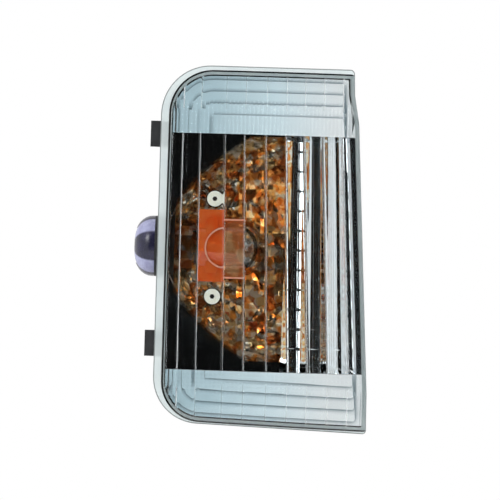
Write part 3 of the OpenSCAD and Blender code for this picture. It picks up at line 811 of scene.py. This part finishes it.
def flute_columns():
    """Share of the window's width and place within the flute, from the left, for every column."""
    columns = []
    for first, last in zip(FLUTE_SHARES, FLUTE_SHARES[1:]):
        parts = [(1 - math.cos(math.pi * k / FLUTE_STEPS)) / 2 for k in range(FLUTE_STEPS)]
        columns += [(first + part * (last - first), part) for part in parts]
    return [*columns, (1, 0)]


def rib_columns():
    """Columns of the fine ribs, a whole number of which fills each flute's width."""
    width = window_x(1, 0) - window_x(0, 0)
    columns = []
    for first, last in zip(FLUTE_SHARES, FLUTE_SHARES[1:]):
        count = max(1, round((last - first) * width / RIB_PITCH)) * RIB_STEPS
        for k in range(count):
            columns.append((first + k / count * (last - first), k % RIB_STEPS / RIB_STEPS))
    return [*columns, (1, 0)]


def optic_rows(columns, heights, column_z, depth_at):
    """Rows of points on the lens's inner face, with a margin on both sides that the walls trim."""
    rows = []
    for z in heights:
        row = []
        for share, part in columns:
            x = window_x(share, column_z(z))
            row.append(Vector((x, depth_at(x, z, part), z)))
        row.insert(0, row[0] + Vector((-REACH, 0, 0)))
        row.append(row[-1] + Vector((REACH, 0, 0)))
        rows.append(row)
    return rows


def lens_hollow():
    """The space behind the lens's face: fluted in the window, ribbed and rowed above and below it."""
    back = PARTING_Y + 5 * MM
    pad_y = CROWN_Y + FACE_T + sag(FACE_RADIUS_V, WINDOW_BOTTOM) + RIB_DEPTH + ROW_DEPTH + WINDOW_RAISED

    def flute_y(x, z, part):
        return pad_y + sag(FACE_RADIUS_H, x) + FLUTE_DEPTH * bulge(part, FLUTE_POWER)

    def rib_y(x, z, part):
        along = (z - WINDOW_TOP) / ROW_PITCH % 1
        shape = RIB_DEPTH * bulge(part) + ROW_DEPTH * bulge(along)
        return CROWN_Y + FACE_T + sag(FACE_RADIUS_H, x) + sag(FACE_RADIUS_V, z) + shape

    def zone(name, start, end):
        count = max(2, round(abs(end - start) / ROW_PITCH * ROW_STEPS))
        heights = [start + (end - start) * k / count for k in range(count + 1)]
        edge = WINDOW_TOP if start >= 0 else WINDOW_BOTTOM
        return relief(name, optic_rows(rib_columns(), heights, lambda z: edge, rib_y), back)

    window = [WINDOW_BOTTOM, WINDOW_BOTTOM / 2, 0, WINDOW_TOP / 2, WINDOW_TOP]
    heights = [BOTTOM - REACH, *window, TOP + REACH]
    hollow = relief("hollow", optic_rows(flute_columns(), heights, window_z, flute_y), back)
    combine(hollow, zone("top_zone", WINDOW_TOP, TOP + REACH / 2), "UNION")
    combine(hollow, zone("bottom_zone", BOTTOM - REACH / 2, WINDOW_BOTTOM), "UNION")
    return hollow


def crown():
    """The block behind the lens's curved front."""
    span = 12 * MM
    step_x = 2 * MM
    step_z = 5 * MM
    heights = [BOTTOM - span + k * step_z for k in range(round((TOP - BOTTOM + 2 * span) / step_z) + 1)]
    places = [LEFT - span + k * step_x for k in range(round((RIGHT_BOTTOM - LEFT + 2 * span) / step_x) + 1)]
    rows = [
        [Vector((x, CROWN_Y + sag(FACE_RADIUS_H, x) + sag(FACE_RADIUS_V, z), z)) for x in places]
        for z in heights
    ]
    return relief("barrel", rows, PARTING_Y + span)


def frost(lens, frosted, rim, rebate):
    """Frosts the flange's front, its darker rim and the rebate under the wall."""
    for material in (frosted, rim, rebate):
        lens.data.materials.append(material)
    close = 0.01 * MM
    for face in lens.data.polygons:
        depths = [lens.data.vertices[i].co.y for i in face.vertices]
        if PARTING_Y - FLANGE_T - close < min(depths) < PARTING_Y - close:
            turned = abs(face.normal.y) < 0.95
            face.material_index = 3 if min(depths) > PARTING_Y - 1.5 * REBATE else 2 if turned else 1


def lens_piece(material, *finishes):
    body = prism("lens_body", body_outline(0), CROWN_Y - 1 * MM, PARTING_Y - FLANGE_T / 2)
    combine(body, crown(), "INTERSECT")
    bake(round_edges(body, BODY_EDGE, 40, 3))
    flange = prism("clear_lens", rounded(FLANGE_POINTS, FLANGE_RADII), PARTING_Y - FLANGE_T, PARTING_Y)
    bake(round_edges(flange, FLANGE_EDGE, 60))
    combine(flange, body, "UNION")
    inside = prism("inside", body_outline(LENS_WALL), CROWN_Y, PARTING_Y + 0.5 * MM)
    combine(inside, lens_hollow(), "INTERSECT")
    combine(flange, inside, "DIFFERENCE")
    rebate = prism("rebate", rebate_outline(), PARTING_Y - REBATE, PARTING_Y + 1 * MM)
    combine(flange, rebate, "DIFFERENCE")
    wear(flange, material)
    frost(flange, *finishes)
    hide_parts("lens")
    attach(flange, "lamp")


# Amber cover
def cover_block(material):
    """The stepped block of the amber cover around the left end of its hood."""
    def step(name, margin, front):
        low = (BLOCK_LEFT + margin, BLOCK_BOTTOM + margin)
        high = (BLOCK_RIGHT - margin, BLOCK_TOP - margin)
        outline = rounded(rectangle(*low, *high), [BLOCK_RADIUS] * 4)
        return prism(name, outline, front, COVER_Y - BEDDED)

    block = step("amber_block", 0, COVER_Y - BLOCK_STEP)
    combine(block, step("upper_step", BLOCK_MARGIN, COVER_Y - 2 * BLOCK_STEP), "UNION")
    bake(round_edges(block, BLOCK_EDGE))
    hood_space = bar("hood_space", 2 * BLOCK_LEFT, -BLOCK_LEFT, HOOD_AXIS_Y, HOOD_R + HOOD_GAP)
    combine(block, hood_space, "DIFFERENCE")
    wear(block, material)
    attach(block, "lamp")


def cover_ridges(material):
    """The ring around the bulb's base and the two ribs beside the hood, made bright with a painted
    highlight.
    """
    half = RIDGE_WIDTH / 2
    front = HOOD_AXIS_Y - HOOD_R - RING_RAISED
    ring = arc(BLOCK_RIGHT, RING_R + half, 90, 270) + arc(BLOCK_RIGHT, RING_R - half, 270, 90)
    ridges = prism("amber_ridges", ring, front, COVER_Y - MM)
    for z in (RIB_LOW, RIB_HIGH):
        outline = rectangle(BLOCK_RIGHT, z - half, HOOD_RIGHT, z + half)
        combine(ridges, prism("rib", outline, COVER_Y - BLOCK_STEP, COVER_Y - BEDDED), "UNION")
    bake(round_edges(ridges, RIDGE_EDGE))
    wear(ridges, material)
    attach(ridges, "lamp")


# Stage
def make_camera():
    right = Vector((math.cos(PHOTO_TILT), 0, math.sin(PHOTO_TILT)))
    up = Vector((-math.sin(PHOTO_TILT), 0, math.cos(PHOTO_TILT)))
    off = Vector((PHOTO_PIXELS / 2 - ORIGIN_PIXEL[0], ORIGIN_PIXEL[1] - PHOTO_PIXELS / 2)) * PIXEL
    place = right * off.x + up * off.y
    place.y = PARTING_Y - FLANGE_T - CAMERA_AWAY
    data = bpy.data.cameras.new("camera")
    data.sensor_width = SENSOR_MM
    data.lens = SENSOR_MM * CAMERA_AWAY / (PHOTO_PIXELS * PIXEL)
    data.clip_end = CAMERA_SEES
    camera = bpy.data.objects.new("camera", data)
    bpy.context.scene.collection.objects.link(camera)
    turn = Matrix((right, up, Vector((0, -1, 0)))).transposed().to_4x4()
    camera.matrix_world = Matrix.Translation(place) @ turn
    bpy.context.scene.camera = camera


def make_floor():
    turns = [2 * math.pi * k / CIRCLE_SIDES for k in range(CIRCLE_SIDES)]
    rim = [(FLOOR_RADIUS * math.cos(a), FLOOR_RADIUS * math.sin(a), FLOOR_Z) for a in turns]
    floor = new_object("floor", rim, [list(range(CIRCLE_SIDES))])
    material = new_material("floor", (0.86, 0.86, 0.85), 0.9)
    vary_colour(material, 60 * MM, (0.85, 0.85, 0.84), (0.87, 0.87, 0.86))
    floor.data.materials.append(material)


def room_light(world):
    """1 all round, and almost 0 in the dark gap of the room that the chrome mirrors."""
    turned = add_node(world, "ShaderNodeVectorRotate", rotation_type="Z_AXIS")
    turned.inputs["Angle"].default_value = -ROOM_TURN
    tall = add_node(world, "ShaderNodeVectorMath", operation="MULTIPLY")
    tall.inputs[1].default_value = (1, 1, ROOM_WIDTH / ROOM_HEIGHT)
    level = add_node(world, "ShaderNodeVectorMath", operation="NORMALIZE")
    room = add_node(world, "ShaderNodeMapRange", interpolation_type="SMOOTHSTEP")
    room.inputs["From Min"].default_value = math.cos(math.atan(ROOM_WIDTH * ROOM_BLUR))
    room.inputs["From Max"].default_value = math.cos(math.atan(ROOM_WIDTH / ROOM_BLUR))
    room.inputs["To Min"].default_value = 1.0
    room.inputs["To Max"].default_value = ROOM_LIGHT
    link(world, add_node(world, "ShaderNodeTexCoord").outputs["Generated"], turned.inputs["Vector"])
    link(world, turned.outputs[0], tall.inputs[0])
    link(world, tall.outputs[0], level.inputs[0])
    towards = calculated(world, "MULTIPLY", parts_of(world, level.outputs[0])["Y"], -1)
    link(world, towards, room.inputs["Value"])
    return room.outputs["Result"]


def make_world():
    """A studio that is white behind the lamp, and lights evenly what scatters light."""
    world = bpy.data.worlds.new("studio")
    bpy.context.scene.world = world
    world.use_nodes = True
    background = world.node_tree.nodes["Background"]
    background.inputs["Color"].default_value = (1, 1, 1, 1)
    rays = add_node(world, "ShaderNodeLightPath")
    even = add_node(world, "ShaderNodeMix")
    even.inputs["B"].default_value = FILL_LIGHT
    seen = add_node(world, "ShaderNodeMix")
    seen.inputs["B"].default_value = 1.0
    scattered = calculated(world, "GREATER_THAN", rays.outputs["Diffuse Depth"], 0.5)
    link(world, scattered, even.inputs["Factor"])
    link(world, room_light(world), even.inputs["A"])
    link(world, rays.outputs["Is Camera Ray"], seen.inputs["Factor"])
    link(world, even.outputs["Result"], seen.inputs["A"])
    link(world, seen.outputs["Result"], background.inputs["Strength"])


def make_lamp(name, place, size, power):
    """A soft lamp that points at the origin."""
    data = bpy.data.lights.new(name, "AREA")
    data.shape = "RECTANGLE"
    data.size, data.size_y = size
    data.energy = power
    lamp = bpy.data.objects.new(name, data)
    bpy.context.scene.collection.objects.link(lamp)
    lamp.location = place
    lamp.rotation_euler = (-Vector(place)).to_track_quat("-Z", "Y").to_euler()


make_camera()
make_floor()
make_world()
make_lamp("key", *KEY_LAMP)
make_lamp("fill", *FILL_LAMP)

lens_piece(
    clear_plastic(),
    frosted_plastic("frosted_plastic", 0.74, 0.25),
    frosted_plastic("rim_plastic", 0.25, 0.25),
    frosted_plastic("rebate_plastic", 0.97, 0.0),
)
amber = amber_plastic()
brass = contact_brass()
dress("lens_seal", rubber())
dress("housing", black_plastic())
dress("reflector", metallised(), flat_to_x=BOWL_END)
dress("amber_cover", amber)
cover_block(amber)
cover_ridges(painted_highlight_amber())
dress("cover_screws", pale_screw())
dress("bulb_holder", holder_plastic())
dress("holder_seal", rubber())
dress("contact_upper", brass)
dress("contact_lower", brass)
dress("bulb_glass", bulb_glass())
dress("bulb_filament", wire_metal("filament_metal", (0.5, 0.5, 0.52)))
dress("bulb_leads", wire_metal("lead_metal", (0.7, 0.7, 0.72)))
dress("vent_cap", rubber())

bpy.context.scene.view_settings.view_transform = "Standard"
